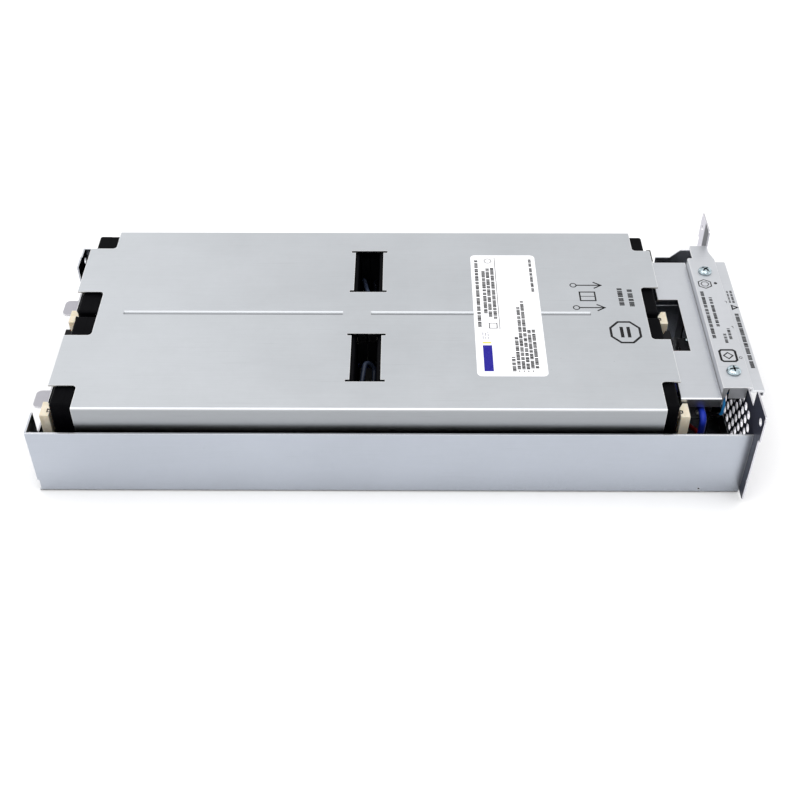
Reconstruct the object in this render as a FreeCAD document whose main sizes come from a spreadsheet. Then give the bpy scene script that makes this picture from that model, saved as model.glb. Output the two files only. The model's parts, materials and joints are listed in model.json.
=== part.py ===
"""Rack battery module: eight sealed blocks in a sheet-metal tray, with a lift-off lid.

Frame: millimetres, +Z up, +X towards the front panel, origin at the middle of the
footprint on the surface that the tray stands on.
"""
import FreeCAD, Part
import math
import os
import re
import Sketcher

# --------------------------------------------------------------------------- sizes
SIZES = {
    # folded tray
    "sheet": 1.2, "tray_length": 484.0, "tray_width": 206.5, "wall_top": 56.0, "bend": 2.2,
    "tongue_reach": 8.0, "lip_reach": 12.0,
    "near_flange": 20.5, "far_flange": 26.0, "flange_hole": 2.5, "flange_hole_top": 48.5,
    "front_turnup": 14.0, "relief_low": 49.0, "relief_deep": 40.0,
    # rear stop with its two tongues
    "stop_top": 38.5, "tongue_width": 17.5, "tongue_pitch": 101.5,
    # blocks: lying on their side, terminals along X
    "block_long": 100.8, "block_wide": 93.0, "block_tall": 70.0, "cover_long": 9.0,
    "row_gap": 4.5, "row_shift": 3.0, "middle_gap": 15.0, "liner": 0.5,
    "terminal_pitch": 76.0, "terminal_drop": 15.5, "tab_long": 6.0, "tab_wide": 6.3, "tab_thick": 0.8,
    # lid: its reach to each side, its notches' inner edges, its windows and beads
    "lid_length": 424.5, "lid_rear_gap": 13.75, "lid_near": 98.15, "lid_far": 100.9, "lid_top": 74.0,
    "lid_sheet": 1.0, "lid_skirt_low": 28.0, "rear_notch": 19.25, "front_notch": 13.0,
    "rear_cut_near": 75.4, "rear_cut_far": 78.5, "rear_mid_near": 23.3, "rear_mid_far": 25.6,
    "front_cut_near": 70.2, "front_cut_far": 77.0, "front_mid_near": 26.4, "front_mid_far": 32.1,
    "notch_round": 3.0,
    "window_long": 50.0, "window_wide": 21.0, "slit_wide": 27.0, "slit_thick": 2.0, "window_pitch": 96.9,
    "window_shift": 2.55, "bead_long": 157.0, "bead_pitch": 177.0, "bead_shift": -7.4, "bead_line": 1.8,
    "bead_wide": 4.0, "bead_deep": 0.72,
    # front panel
    "panel_low": 3.5, "panel_top": 69.3, "ear_top": 83.0, "ear_inner": 88.75, "ear_reach": 11.75,
    "ear_slim_reach": 9.25, "ear_step": 61.0, "ear_hole": 2.75, "ear_hole_reach": 4.75, "ear_hole_top": 73.0,
    "hex_pitch": 8.5, "hex_rise": 7.9, "hex_round": 3.25,
    # deck and bracket
    "deck_top": 64.0, "deck_half": 76.25, "deck_gap_near": 27.2, "deck_gap_far": 30.4, "deck_rear": 194.6,
    "deck_skirt": 7.5,
    "bracket_top": 70.5, "bracket_half": 72.5, "bracket_rear": 223.0, "bracket_step": 243.5,
    "bracket_low": 54.0, "lip_top": 67.5, "lip_low": 62.4,
    "screw_place": 233.2, "screw_pitch": 111.5, "screw_round": 2.0, "screw_head": 5.0, "screw_clear": 0.08,
    # wiring
    "lead_bend": 5.0, "main_lead": 4.6, "link": 3.4, "sense": 2.2,
}
DERIVED = {
    "rear_x": "tongue_reach - (tray_length + tongue_reach + lip_reach) / 2",
    "front_x": "rear_x + tray_length",
    "half_width": "tray_width / 2",
    "lid_rear": "rear_x + lid_rear_gap",
    "lid_front": "lid_rear + lid_length",
    "lid_middle": "lid_rear + lid_length / 2",
    "block_low": "sheet + liner",
    "block_top": "block_low + block_tall",
    "near_row": "row_shift - (row_gap + block_wide) / 2",
    "far_row": "row_shift + (row_gap + block_wide) / 2",
    "blocks_front": "lid_middle + 2 * block_long + middle_gap / 2",
    "blocks_rear": "lid_middle - 2 * block_long - middle_gap / 2",
    "panel_front": "front_x + sheet",
    "lip_front": "front_x + lip_reach",
    "tongue_tip": "rear_x - tongue_reach",
    "near_outer_lead": "near_row - terminal_pitch / 2",
    "near_channel": "near_row - block_wide / 2 - 2.45",
}

doc = FreeCAD.newDocument("rack_battery_module")
sheet = doc.addObject("Spreadsheet::Sheet", "dim")
KNOWN = list(SIZES) + list(DERIVED)


def expression(text):
    """Point every size name in a formula at its cell in the sheet."""
    return re.sub(r"[a-z_]+", lambda m: "dim." + m.group(0) if m.group(0) in KNOWN else m.group(0), str(text))


for line, (name, value) in enumerate(SIZES.items(), start=1):
    sheet.set("A%d" % line, name)
    sheet.set("B%d" % line, str(value))
    sheet.setAlias("B%d" % line, name)
doc.recompute()
for line, (name, formula) in enumerate(DERIVED.items(), start=len(SIZES) + 1):
    sheet.set("A%d" % line, name)
    sheet.set("B%d" % line, "=" + expression(formula).replace("dim.", ""))
    sheet.setAlias("B%d" % line, name)
    doc.recompute()


def value(formula):
    """What a formula of the sheet comes to now."""
    return float(sheet.evalExpression(expression(formula)))


# --------------------------------------------------------------------------- helpers
NODES = []
PLUS_X = FreeCAD.Vector(1, 0, 0)
PLUS_Y = FreeCAD.Vector(0, 1, 0)
PLUS_Z = FreeCAD.Vector(0, 0, 1)
ALONG = {
    "X": FreeCAD.Rotation(PLUS_Z, PLUS_X),
    "Y": FreeCAD.Rotation(PLUS_Z, PLUS_Y),
    "Z": FreeCAD.Rotation(),
}


def node(thing, label):
    """Name an object as a sub-part of the module."""
    thing.Label = label
    NODES.append(thing)
    return thing


def bind(thing, **formulas):
    """Bind properties to formulas; a double underscore stands for the dot in a path."""
    for path, formula in formulas.items():
        thing.setExpression(path.replace("__", "."), expression(formula))
    return thing


def place(thing, x, y, z):
    return bind(thing, Placement__Base__x=x, Placement__Base__y=y, Placement__Base__z=z)


def box(name, x, y, z):
    """A block between two planes along each axis, all given as formulas."""
    thing = doc.addObject("Part::Box", name)
    bind(thing, Length="(%s) - (%s)" % (x[1], x[0]))
    bind(thing, Width="(%s) - (%s)" % (y[1], y[0]))
    bind(thing, Height="(%s) - (%s)" % (z[1], z[0]))
    return place(thing, x[0], y[0], z[0])


def rod(name, axis, start, radius, length):
    """A cylinder from a start point along +X, +Y or +Z."""
    thing = doc.addObject("Part::Cylinder", name)
    thing.Placement = FreeCAD.Placement(FreeCAD.Vector(), ALONG[axis])
    bind(thing, Radius=radius, Height=length)
    return place(thing, *start)


def fuse(name, parts):
    thing = doc.addObject("Part::MultiFuse", name)
    thing.Shapes = parts
    thing.Refine = True
    return thing


def cut(name, base, tools):
    thing = doc.addObject("Part::Cut", name)
    thing.Base = base
    thing.Tool = tools[0] if len(tools) == 1 else group(name + "_tools", tools)
    thing.Refine = True
    return thing


def group(name, parts):
    thing = doc.addObject("Part::Compound", name)
    thing.Links = parts
    return thing


def edges_along(shape, axis, places, reach=0.05):
    """Numbers of the straight edges along an axis that pass through any of the places.

    A place gives the other two coordinates in X, Y, Z order; None accepts any value.
    """
    across = [i for i in range(3) if i != "XYZ".index(axis)]
    found = []
    for number, edge in enumerate(shape.Edges, start=1):
        if not isinstance(edge.Curve, Part.Line):
            continue
        first, last = edge.Vertexes[0].Point, edge.Vertexes[-1].Point
        if any(abs(first[i] - last[i]) > 1e-4 for i in across):
            continue
        for spot in places:
            if all(want is None or abs(first[i] - want) < reach for i, want in zip(across, spot)):
                found.append(number)
                break
    return found


def rounded(name, base, axis, places, radius):
    """Fillet the edges of a base that run along an axis through the places."""
    doc.recompute()
    spots = [[None if part is None else value(part) for part in spot] for spot in places]
    picked = edges_along(base.Shape, axis, spots)
    if not picked:
        raise RuntimeError("no edge found to round on " + name)
    thing = doc.addObject("Part::Fillet", name)
    thing.Base = base
    thing.Edges = [(number, value(radius), value(radius)) for number in picked]
    return thing


def outline(body, role, points, offset="0"):
    """A closed sketch whose corners are all locked to formulas of the sheet."""
    sketch = body.newObject("Sketcher::SketchObject", body.Name + "_outline")
    plane = next(item for item in body.Origin.OriginFeatures if item.Role == role)
    sketch.AttachmentSupport = [(plane, "")]
    sketch.MapMode = "FlatFace"
    bind(sketch, AttachmentOffset__Base__z=offset)
    corners = [FreeCAD.Vector(value(u), value(v), 0) for u, v in points]
    count = len(points)
    for i in range(count):
        sketch.addGeometry(Part.LineSegment(corners[i], corners[(i + 1) % count]), False)
    for i, (u, v) in enumerate(points):
        sketch.addConstraint(Sketcher.Constraint("Coincident", i, 2, (i + 1) % count, 1))
        for kind, now, formula in (("DistanceX", corners[i].x, u), ("DistanceY", corners[i].y, v)):
            number = sketch.addConstraint(Sketcher.Constraint(kind, i, 1, now))
            sketch.setExpression("Constraints[%d]" % number, expression(formula))
    return sketch


def padded(name, role, points, low, high):
    """A body padded from an outline: along X on YZ, along Y on XZ, along Z on XY."""
    body = doc.addObject("PartDesign::Body", name)
    start = "-(%s)" % high if role == "XZ_Plane" else low
    sketch = outline(body, role, points, start)
    pad = body.newObject("PartDesign::Pad", name + "_pad")
    pad.Profile = sketch
    bind(pad, Length="(%s) - (%s)" % (high, low))
    return body


def turned(name, points):
    """A body turned about +Z from a half profile of (radius, height) formulas."""
    body = doc.addObject("PartDesign::Body", name)
    sketch = outline(body, "XZ_Plane", points)
    spin = body.newObject("PartDesign::Revolution", name + "_spin")
    spin.Profile = sketch
    spin.ReferenceAxis = (sketch, ["V_Axis"])
    spin.Angle = 360.0
    return body


def both_sides(make):
    """Run a maker for the near side (-1) and the far side (+1)."""
    return [make(side) for side in (-1, 1)]


def side_word(side):
    return "near" if side < 0 else "far"


def across(side, inner, outer):
    """The low and high Y formulas of a span measured outwards from the middle line."""
    return (inner, outer) if side > 0 else ("-(%s)" % outer, "-(%s)" % inner)


def rivet(name, axis, start, grip, head=3.0, shank=1.6):
    """A blind rivet: a low head at the start point and a shank running along the axis."""
    profile = [("0", -grip - 1.6), (shank + 0.7, -grip - 1.6), (shank + 0.7, -grip), (shank, -grip),
               (shank, "0"), (head, "0"), (head * 0.9, 0.6), (head * 0.5, 1.1), ("0", 1.2)]
    body = turned(name, profile)
    body.Placement = FreeCAD.Placement(FreeCAD.Vector(), ALONG[axis])
    return place(body, *start)


# --------------------------------------------------------------------------- tray
def make_tray():
    floor = box("tray_floor", ("rear_x", "front_x"), ("-half_width", "half_width"), ("0", "sheet"))
    walls = both_sides(lambda side: box(
        side_word(side) + "_wall", ("rear_x", "front_x"), across(side, "half_width - sheet", "half_width"),
        ("0", "wall_top")))
    flanges = [
        box("near_rear_flange", ("rear_x", "rear_x + sheet"), ("-half_width", "near_flange - half_width"),
            ("sheet + 1.6", "wall_top")),
        box("far_rear_flange", ("rear_x", "rear_x + sheet"), ("half_width - far_flange", "half_width"),
            ("sheet + 1.6", "wall_top")),
        box("far_flange_rise", ("rear_x", "rear_x + sheet"), ("half_width - far_flange", "half_width - 12"),
            ("wall_top - 1", "wall_top + 1.2")),
    ]
    turnup = box("tray_front_turnup", ("front_x - sheet", "front_x"), ("-78", "78"), ("0", "front_turnup"))
    blank = fuse("tray_blank", [floor, turnup] + walls + flanges)
    outer = rounded("tray_outer_bends", blank, "X", [("-half_width", "0"), ("half_width", "0")], "bend")
    bent = rounded("tray_inner_bends", outer, "X",
                   [("sheet - half_width", "sheet"), ("half_width - sheet", "sheet")], "bend - sheet")
    relief = padded("far_wall_relief", "XZ_Plane", [
        ("front_x - 60", "relief_deep"), ("front_x - 34", "relief_deep"), ("front_x - 34", "relief_low"),
        ("front_x - 23", "relief_low"), ("front_x - 15.5", "wall_top"), ("front_x - 15.5", "wall_top + 5"),
        ("front_x - 60", "wall_top + 5")], "half_width - 3", "half_width + 1")
    slots = both_sides(lambda side: box(
        side_word(side) + "_bend_relief", ("rear_x - 1", "rear_x + 1.1"),
        across(side, "half_width - sheet - 2", "half_width + 1"), ("2.8", "11")))
    holes = both_sides(lambda side: rod(
        side_word(side) + "_flange_hole", "X", ("rear_x - 1", "%d * (half_width - 6)" % side,
            "flange_hole_top"),
        "flange_hole", "4"))
    pips = both_sides(lambda side: rod(
        side_word(side) + "_tooling_hole", "Y", ("212", "%d * half_width - 2.5" % side, "4.2"), "0.8", "5"))
    seats = [rod("panel_rivet_seat_%d" % i, "X", ("front_x - 2", y, "8.5"), "1.6", "3")
             for i, y in enumerate(PANEL_RIVETS, start=1)]
    seats += [rod("foot_rivet_seat_%d" % i, "Z", (x, y, "-1"), "1.6", "3")
              for i, (x, y) in enumerate(FOOT_RIVETS, start=1)]
    return node(cut("tray_cut", bent, [relief] + slots + holes + pips + seats), "tray")


PANEL_RIVETS = ["-66", "-34", "34", "66"]
REAR_FEET = [("rear_x + 8", "-70"), ("rear_x + 8", "0"), ("rear_x + 8", "70")]
DECK_FEET = [("bracket_rear - 7", "-52"), ("bracket_rear - 7", "52")]
SADDLE_FEET = [("226", "-25.5"), ("226", "25.5")]
FOOT_RIVETS = REAR_FEET + DECK_FEET + SADDLE_FEET


def make_rivets():
    """All feet are held by rivets set from inside; the front panel's come from the front."""
    panel = [rivet("panel_rivet_%d" % i, "X", ("panel_front", y, "8.5"), 2.4)
             for i, y in enumerate(PANEL_RIVETS, start=1)]
    node(group("panel_rivet_set", panel), "panel_rivets")
    for label, feet in (("rear_stop_rivets", REAR_FEET), ("deck_rivets", DECK_FEET),
            ("saddle_rivets", SADDLE_FEET)):
        set_here = [rivet("%s_%d" % (label, i), "Z", (x, y, "2 * sheet"), 2.4)
                    for i, (x, y) in enumerate(feet, start=1)]
        trimmed = [cut("%s_flush" % item.Name, item, [box(item.Name + "_below", ("rear_x", "front_x"),
                   ("-half_width", "half_width"), ("-5", "0.1"))]) for item in set_here]
        node(group(label + "_set", trimmed), label)


def foot_seats(name, feet):
    return [rod("%s_seat_%d" % (name, i), "Z", (x, y, "0.5"), "1.6", "3") for i,
        (x, y) in enumerate(feet, start=1)]


def make_rear_stop():
    """A low rear wall on a riveted foot; its two tongues stick out behind the tray."""
    plate = box("rear_stop_plate", ("rear_x + sheet", "rear_x + 2 * sheet"), ("-98", "98"),
        ("sheet", "stop_top"))
    foot = box("rear_stop_foot", ("rear_x + sheet", "rear_x + 13.5"), ("-98", "98"), ("sheet", "2 * sheet"))
    tongues = both_sides(lambda side: box(
        side_word(side) + "_tongue", ("tongue_tip", "rear_x + 2 * sheet"),
        across(side, "(tongue_pitch - tongue_width) / 2", "(tongue_pitch + tongue_width) / 2"),
        ("stop_top - sheet", "stop_top")))
    blank = fuse("rear_stop_blank", [plate, foot] + tongues)
    tips = [("tongue_tip", "%d * (tongue_pitch %s tongue_width) / 2" % (side, sign)) for side in (-1,
        1) for sign in "+-"]
    soft = rounded("rear_stop_tips", blank, "Z", tips, "4")
    bent = rounded("rear_stop_bend", soft, "Y", [("rear_x + 2 * sheet", "2 * sheet")], "1.2")
    return node(cut("rear_stop_cut", bent, foot_seats("rear_stop", REAR_FEET)), "rear_stop")


# --------------------------------------------------------------------------- front panel
def make_perforation():
    """Staggered rows of hexagonal holes, left solid round the connector's cut-out."""
    pitch, rise, reach = value("hex_pitch"), value("hex_rise"), value("hex_round")
    start = value("front_x") - 2
    cells = []
    for row in range(6):
        height = 57.2 - rise * row
        shift = 0.5 * (row % 2)
        for column in range(-11, 12):
            y = (column + shift) * pitch
            if abs(y) > 90 or (abs(y) < 25 and 14 < height < 46):
                continue
            corners = [FreeCAD.Vector(start, y + reach * math.sin(turn), height + reach * math.cos(turn))
                       for turn in [math.radians(60 * k) for k in range(6)]]
            face = Part.Face(Part.makePolygon(corners + corners[:1]))
            cells.append(face.extrude(FreeCAD.Vector(5, 0, 0)))
    thing = doc.addObject("Part::Feature", "perforation")
    thing.Shape = Part.makeCompound(cells)
    return thing


def make_front_panel():
    slim, wide = "half_width + ear_slim_reach", "half_width + ear_reach"
    right = [(slim, "panel_low"), (slim, "ear_step"), (wide, "ear_step"), (wide, "ear_top"),
             ("ear_inner", "ear_top"), ("ear_inner", "panel_top")]
    left = [("-(%s)" % y, z) for y, z in reversed(right)]
    plate = padded("panel_plate", "YZ_Plane", right + left, "front_x", "panel_front")
    shelf = box("panel_shelf", ("front_x - 14", "panel_front"), ("-70", "70"),
        ("panel_top - sheet", "panel_top"))
    blank = fuse("panel_blank", [plate, shelf])
    ears = [("%d * (%s)" % (side, reach), "ear_top") for side in (-1, 1) for reach in (wide, "ear_inner")]
    soft = rounded("panel_soft_ears", blank, "X", ears, "1.5")
    bent = rounded("panel_bend", soft, "Y", [("panel_front", "panel_top")], "0.9")
    holes = both_sides(lambda side: rod(
        side_word(side) + "_ear_hole", "X", ("front_x - 2", "%d * (half_width + ear_hole_reach)" % side,
            "ear_hole_top"),
        "ear_hole", "5"))
    nicks = []
    for side in (-1, 1):
        for height, reach in (("79", wide), ("20", slim)):
            nicks.append(box("%s_nick_%s" % (side_word(side), height), ("front_x - 2", "front_x + 3"),
                             across(side, "(%s) - 0.8" % reach, "(%s) + 1" % reach),
                             (height, height + " + 2.6")))
    mouth = box("connector_mouth", ("front_x - 2", "front_x + 3"), ("-18.6", "18.6"), ("21.7", "38.3"))
    nuts = both_sides(lambda side: rod(
        side_word(side) + "_nut_seat", "Z", ("screw_place", "%d * screw_pitch / 2" % side, "panel_top - 4"),
        "2.9", "8"))
    seats = [rod("panel_seat_%d" % i, "X", ("front_x - 2", y, "8.5"), "1.6", "5")
             for i, y in enumerate(PANEL_RIVETS, start=1)]
    tools = [make_perforation(), mouth] + holes + nicks + nuts + seats
    return node(cut("front_panel_cut", bent, tools), "front_panel")


def make_press_nuts():
    def nut(side):
        bore = "screw_round + screw_clear"
        body = turned(side_word(side) + "_press_nut", [
            (bore, "-4.8"), ("4", "-4.8"), ("4", "0 - sheet"), ("2.9", "0 - sheet"), ("2.9", "0"),
            (bore, "0")])
        return place(body, "screw_place", "%d * screw_pitch / 2" % side, "panel_top")
    return node(group("press_nut_set", both_sides(nut)), "press_nuts")


# --------------------------------------------------------------------------- deck and bracket
def make_deck():
    """The low cover over the wiring bay, on two riveted legs."""
    front = "bracket_rear - 0.3"
    plate = box("deck_plate", ("deck_rear", front), ("-deck_half", "deck_half"),
        ("deck_top - sheet", "deck_top"))
    skirts = both_sides(lambda side: box(
        side_word(side) + "_deck_skirt", ("deck_rear", front), across(side, "deck_half - sheet", "deck_half"),
        ("deck_top - deck_skirt", "deck_top")))
    legs = both_sides(lambda side: box(
        side_word(side) + "_deck_leg", (front + " - sheet", front), across(side, "44", "60"),
        ("sheet", "deck_top")))
    feet = both_sides(lambda side: box(
        side_word(side) + "_deck_foot", (front + " - 13", front), across(side, "44", "60"),
        ("sheet", "2 * sheet")))
    blank = fuse("deck_blank", [plate] + skirts + legs + feet)
    soft = rounded("deck_corners", blank, "Z", [("deck_rear", "-deck_half"), ("deck_rear", "deck_half")], "1")
    bent = rounded("deck_bends", soft, "X", [("-deck_half", "deck_top"), ("deck_half", "deck_top")], "1.1")
    gap = box("deck_gap", ("deck_rear - 1", "deck_rear + 15.2"), ("-deck_gap_near", "deck_gap_far"),
        ("deck_top - 5", "deck_top + 5"))
    return node(cut("deck_cut", bent, [gap] + foot_seats("deck", DECK_FEET)), "front_deck")


def make_bracket():
    """The cross bracket: rear wall, top strip, joggle down and a front lip with a folded edge."""
    rear, step, lip = "bracket_rear", "bracket_step", "lip_front"
    profile = [
        (rear, "bracket_low"), (rear, "bracket_top"), (step, "bracket_top"), (step, "lip_top"),
        (lip, "lip_top"),
        (lip, "lip_low"), (lip + " - 4", "lip_low"), (lip + " - 4", "lip_low + sheet"),
        (lip + " - sheet", "lip_low + sheet"), (lip + " - sheet", "lip_top - sheet"),
        (step + " - sheet", "lip_top - sheet"), (step + " - sheet", "bracket_top - sheet"),
        (rear + " + sheet", "bracket_top - sheet"), (rear + " + sheet", "bracket_low")]
    strip = padded("bracket_strip", "XZ_Plane", profile, "-bracket_half", "bracket_half")
    soft = rounded("bracket_folds", strip, "Y", [
        (rear, "bracket_top"), (step, "bracket_top"), (lip, "lip_top"), (lip, "lip_low")], "1")
    neck = padded("bracket_neck", "XY_Plane", [
        ("bracket_rear + 3.8", "bracket_half - 3"), ("bracket_step - 1", "bracket_half - 3"),
        ("bracket_step - 1", "bracket_half + 1"), ("front_x", "bracket_half + 9"),
        ("front_x", "ear_inner - 0.4"),
        ("bracket_rear + 3.8", "ear_inner - 0.4")], "bracket_top - sheet", "bracket_top")
    tab = box("bracket_tab", ("bracket_rear + 5", "front_x - 0.6"), ("-bracket_half", "sheet - bracket_half"),
              ("60.8", "bracket_top"))
    gusset = padded("bracket_gusset", "XZ_Plane", [
        (rear, "bracket_low"), (rear + " + sheet", "bracket_low"), (rear + " + 4", "bracket_top - 0.5"),
        (rear + " + 1", "bracket_top - 0.5")], "-bracket_half", "sheet - bracket_half")
    blank = fuse("bracket_blank", [soft, neck, tab, gusset])
    corners = [(lip, "bracket_half"), (lip, "-bracket_half"), ("bracket_rear + 3.8", "ear_inner - 0.4")]
    trimmed = rounded("bracket_corners", blank, "Z", corners, "1.1")
    holes = both_sides(lambda side: rod(
        side_word(side) + "_bracket_hole", "Z", ("screw_place", "%d * screw_pitch / 2" % side,
            "bracket_top - 3"),
        "screw_round + 0.3", "6"))
    return node(cut("bracket_cut", trimmed, holes), "front_bracket")


def make_bracket_screws():
    """Two pan-head cross-recess screws through the bracket into the press nuts."""
    def screw(side):
        word = side_word(side)
        blank = turned(word + "_screw_blank", [
            ("0", "-7.5"), ("screw_round - 0.5", "-7.5"), ("screw_round", "-6.9"), ("screw_round", "0"),
            ("screw_head", "0"), ("screw_head", "0.9"), ("4.4", "1.9"), ("3.1", "2.6"), ("1.5", "2.9"),
            ("0", "3")])
        place(blank, "screw_place", "%d * screw_pitch / 2" % side, "bracket_top")
        arms = [box(word + "_recess_long", ("-3", "3"), ("-0.6", "0.6"), ("0", "2.4")),
                box(word + "_recess_wide", ("-0.6", "0.6"), ("-3", "3"), ("0", "2.4"))]
        recess = fuse(word + "_recess", arms)
        recess.Placement = FreeCAD.Placement(FreeCAD.Vector(), FreeCAD.Rotation(PLUS_Z, 25 + 20 * side))
        place(recess, "screw_place", "%d * screw_pitch / 2" % side, "bracket_top + 0.9")
        return cut(word + "_bracket_screw", blank, [recess])
    return node(group("bracket_screw_set", both_sides(screw)), "bracket_screws")


# --------------------------------------------------------------------------- lid
def make_lid():
    """A shallow upturned channel with corner and middle notches, two windows and two beads."""
    near, far, top = "-lid_near", "lid_far", "lid_top"
    channel = padded("lid_channel", "YZ_Plane", [
        (near, "lid_skirt_low"), (near + " + lid_sheet", "lid_skirt_low"),
        (near + " + lid_sheet", top + " - lid_sheet"),
        (far + " - lid_sheet", top + " - lid_sheet"), (far + " - lid_sheet", "lid_skirt_low"),
        (far, "lid_skirt_low"),
        (far, top), (near, top)], "lid_rear", "lid_front")
    outer = rounded("lid_outer_bends", channel, "X", [(near, top), (far, top)], "1.9")
    bent = rounded("lid_inner_bends", outer, "X", [
        (near + " + lid_sheet", top + " - lid_sheet"), (far + " - lid_sheet", top + " - lid_sheet")], "0.9")
    high = (top + " - 4", top + " + 3")
    whole = ("lid_skirt_low - 1", top + " + 3")
    notches, corners = [], []
    for word, span, edge in (("rear", ("lid_rear - 1", "lid_rear + rear_notch"), "lid_rear + rear_notch"),
                             ("front", ("lid_front - front_notch", "lid_front + 1"),
                                 "lid_front - front_notch")):
        cuts = ["-%s_cut_near" % word, "-%s_mid_near" % word, "%s_mid_far" % word, "%s_cut_far" % word]
        notches.append(box(word + "_near_corner", span, (near + " - 1", cuts[0]), whole))
        notches.append(box(word + "_middle", span, (cuts[1], cuts[2]), high))
        notches.append(box(word + "_far_corner", span, (cuts[3], far + " + 1"), whole))
        corners += [(edge, spot) for spot in cuts]
    windows = []
    for side in (-1, 1):
        word = side_word(side)
        middle = "window_shift + %d * window_pitch / 2" % side
        windows.append(box(word + "_window", ("lid_middle - window_wide / 2", "lid_middle + window_wide / 2"),
                           (middle + " - window_long / 2", middle + " + window_long / 2"), high))
        for end in (-1, 1):
            edge = "%s + %d * (window_long - slit_thick) / 2" % (middle, end)
            windows.append(box("%s_window_slit_%d" % (word, end + 2),
                               ("lid_middle - slit_wide / 2", "lid_middle + slit_wide / 2"),
                               (edge + " - slit_thick / 2", edge + " + slit_thick / 2"), high))
    depth = "%s + (bead_wide / 2) ^ 2 / (2 * bead_deep) - bead_deep / 2" % top
    curve = "(bead_wide / 2) ^ 2 / (2 * bead_deep) + bead_deep / 2"
    beads = []
    for end in (-1, 1):
        start = "lid_middle + bead_shift + %d * bead_pitch / 2 - bead_long / 2" % end
        beads.append(rod("bead_%d" % (end + 2), "X", (start, "bead_line", depth), curve, "bead_long"))
    plain = cut("lid_cut", bent, notches + windows + beads)
    return node(rounded("lid_notch_corners", plain, "Z", corners, "notch_round"), "lid")


def make_lid_extras():
    label = box("label_blank", ("lid_middle + 76", "lid_middle + 124.2"), ("-65.4", "70.7"),
        ("lid_top", "lid_top + 0.15"))
    corners = [("lid_middle + %s" % x, y) for x in ("76", "124.2") for y in ("-65.4", "70.7")]
    node(rounded("label_soft", label, "Z", corners, "3.5"), "lid_label")
    strips = []
    for i, x in enumerate(("-150", "-62", "58", "150"), start=1):
        strips += both_sides(lambda side: box(
            "lid_foam_%d_%s" % (i, side_word(side)), ("lid_middle + %s - 8" % x, "lid_middle + %s + 8" % x),
            across(side, "14", "82"), ("block_top + 0.1", "lid_top - lid_sheet")))
    node(group("lid_foam_set", strips), "lid_foam_strips")


# --------------------------------------------------------------------------- blocks
HOUSING_REACH = {False: ("2.4", "8.6"), True: ("0.9", "7.1")}
BLOCKS = []
for row, row_name in ((-1, "near"), (1, "far")):
    for column in range(4):
        facing = -1 if column % 2 == 0 else 1
        gap_count = 1 if column > 1 else 0
        low = "lid_middle - 2 * block_long - middle_gap / 2 + %d * block_long + %d * middle_gap" % (column,
            gap_count)
        BLOCKS.append({
            "name": "%s_%d" % (row_name, column + 1), "row": row, "column": column, "facing": facing,
            "x": low if facing > 0 else low + " + block_long", "y": row_name + "_row"})


def on_block(thing, block):
    """Put a piece drawn in a block's own frame (terminals along +X) where its block lies."""
    turn = FreeCAD.Rotation() if block["facing"] > 0 else FreeCAD.Rotation(PLUS_Z, 180)
    held = group(thing.Name + "_held", [thing])
    held.Placement = FreeCAD.Placement(FreeCAD.Vector(), turn)
    return place(held, block["x"], block["y"], "block_low")


def make_jar(block):
    name = block["name"]
    side = "(block_wide / 2 - 0.1)"
    blank = box("jar_blank_" + name, ("0.1", "block_long - cover_long"), ("-" + side, side),
        ("0", "block_tall - 0.1"))
    doc.recompute()
    soft = doc.addObject("Part::Fillet", "jar_" + name)
    soft.Base = blank
    keep = value("block_long - cover_long")
    soft.Edges = [(number, 2.0, 2.0) for number, edge in enumerate(blank.Shape.Edges, start=1)
                  if edge.BoundBox.XMin < keep - 0.01]
    return node(on_block(soft, block), "block_%s_jar" % name)


def make_cover(block):
    name = block["name"]
    blank = box("cover_blank_" + name, ("block_long - cover_long", "block_long"),
                ("-block_wide / 2", "block_wide / 2"), ("0", "block_tall"))
    doc.recompute()
    soft = doc.addObject("Part::Fillet", "cover_soft_" + name)
    soft.Base = blank
    keep = value("block_long - cover_long")
    soft.Edges = [(number, 2.0, 2.0) for number, edge in enumerate(blank.Shape.Edges, start=1)
                  if edge.BoundBox.XMax > keep + 0.01]
    wells = [box("well_%s_%d" % (name, i), ("block_long - 2.5", "block_long + 1"),
                 ("%s - 6" % y, "%s + 6" % y), ("block_tall - terminal_drop - 6",
                     "block_tall - terminal_drop + 6"))
             for i, y in enumerate(("-terminal_pitch / 2", "terminal_pitch / 2"), start=1)]
    vent = box("vent_recess_" + name, ("block_long - 1", "block_long + 1"), ("-26", "26"), ("16", "30"))
    return node(on_block(cut("cover_" + name, soft, wells + [vent]), block), "block_%s_cover" % name)


def make_vent_strips():
    strips = []
    for block in BLOCKS:
        strip = box("vent_%s" % block["name"], ("block_long - 1", "block_long - 0.1"), ("-25.7", "25.7"),
            ("16.3", "29.7"))
        strips.append(on_block(strip, block))
    return node(group("vent_strip_set", strips), "vent_strips")


def make_tabs(label, side):
    """The flat tabs of one polarity, each on its own small foot in a well of the cover."""
    tabs = []
    for block in BLOCKS:
        name = "%s_%s" % (label, block["name"])
        y = "%d * terminal_pitch / 2" % side
        mid = "block_tall - terminal_drop"
        blade = box(name + "_blade", ("block_long - 2.5", "block_long + tab_long"),
                    (y + " - tab_wide / 2", y + " + tab_wide / 2"),
                    (mid + " - tab_thick / 2", mid + " + tab_thick / 2"))
        foot = box(name + "_foot", ("block_long - 2.5", "block_long - 1.7"), (y + " - 4", y + " + 4"),
                   (mid + " - 4", mid + " + 4"))
        tabs.append(on_block(fuse(name, [blade, foot]), block))
    return node(group(label + "_set", tabs), label)


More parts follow.
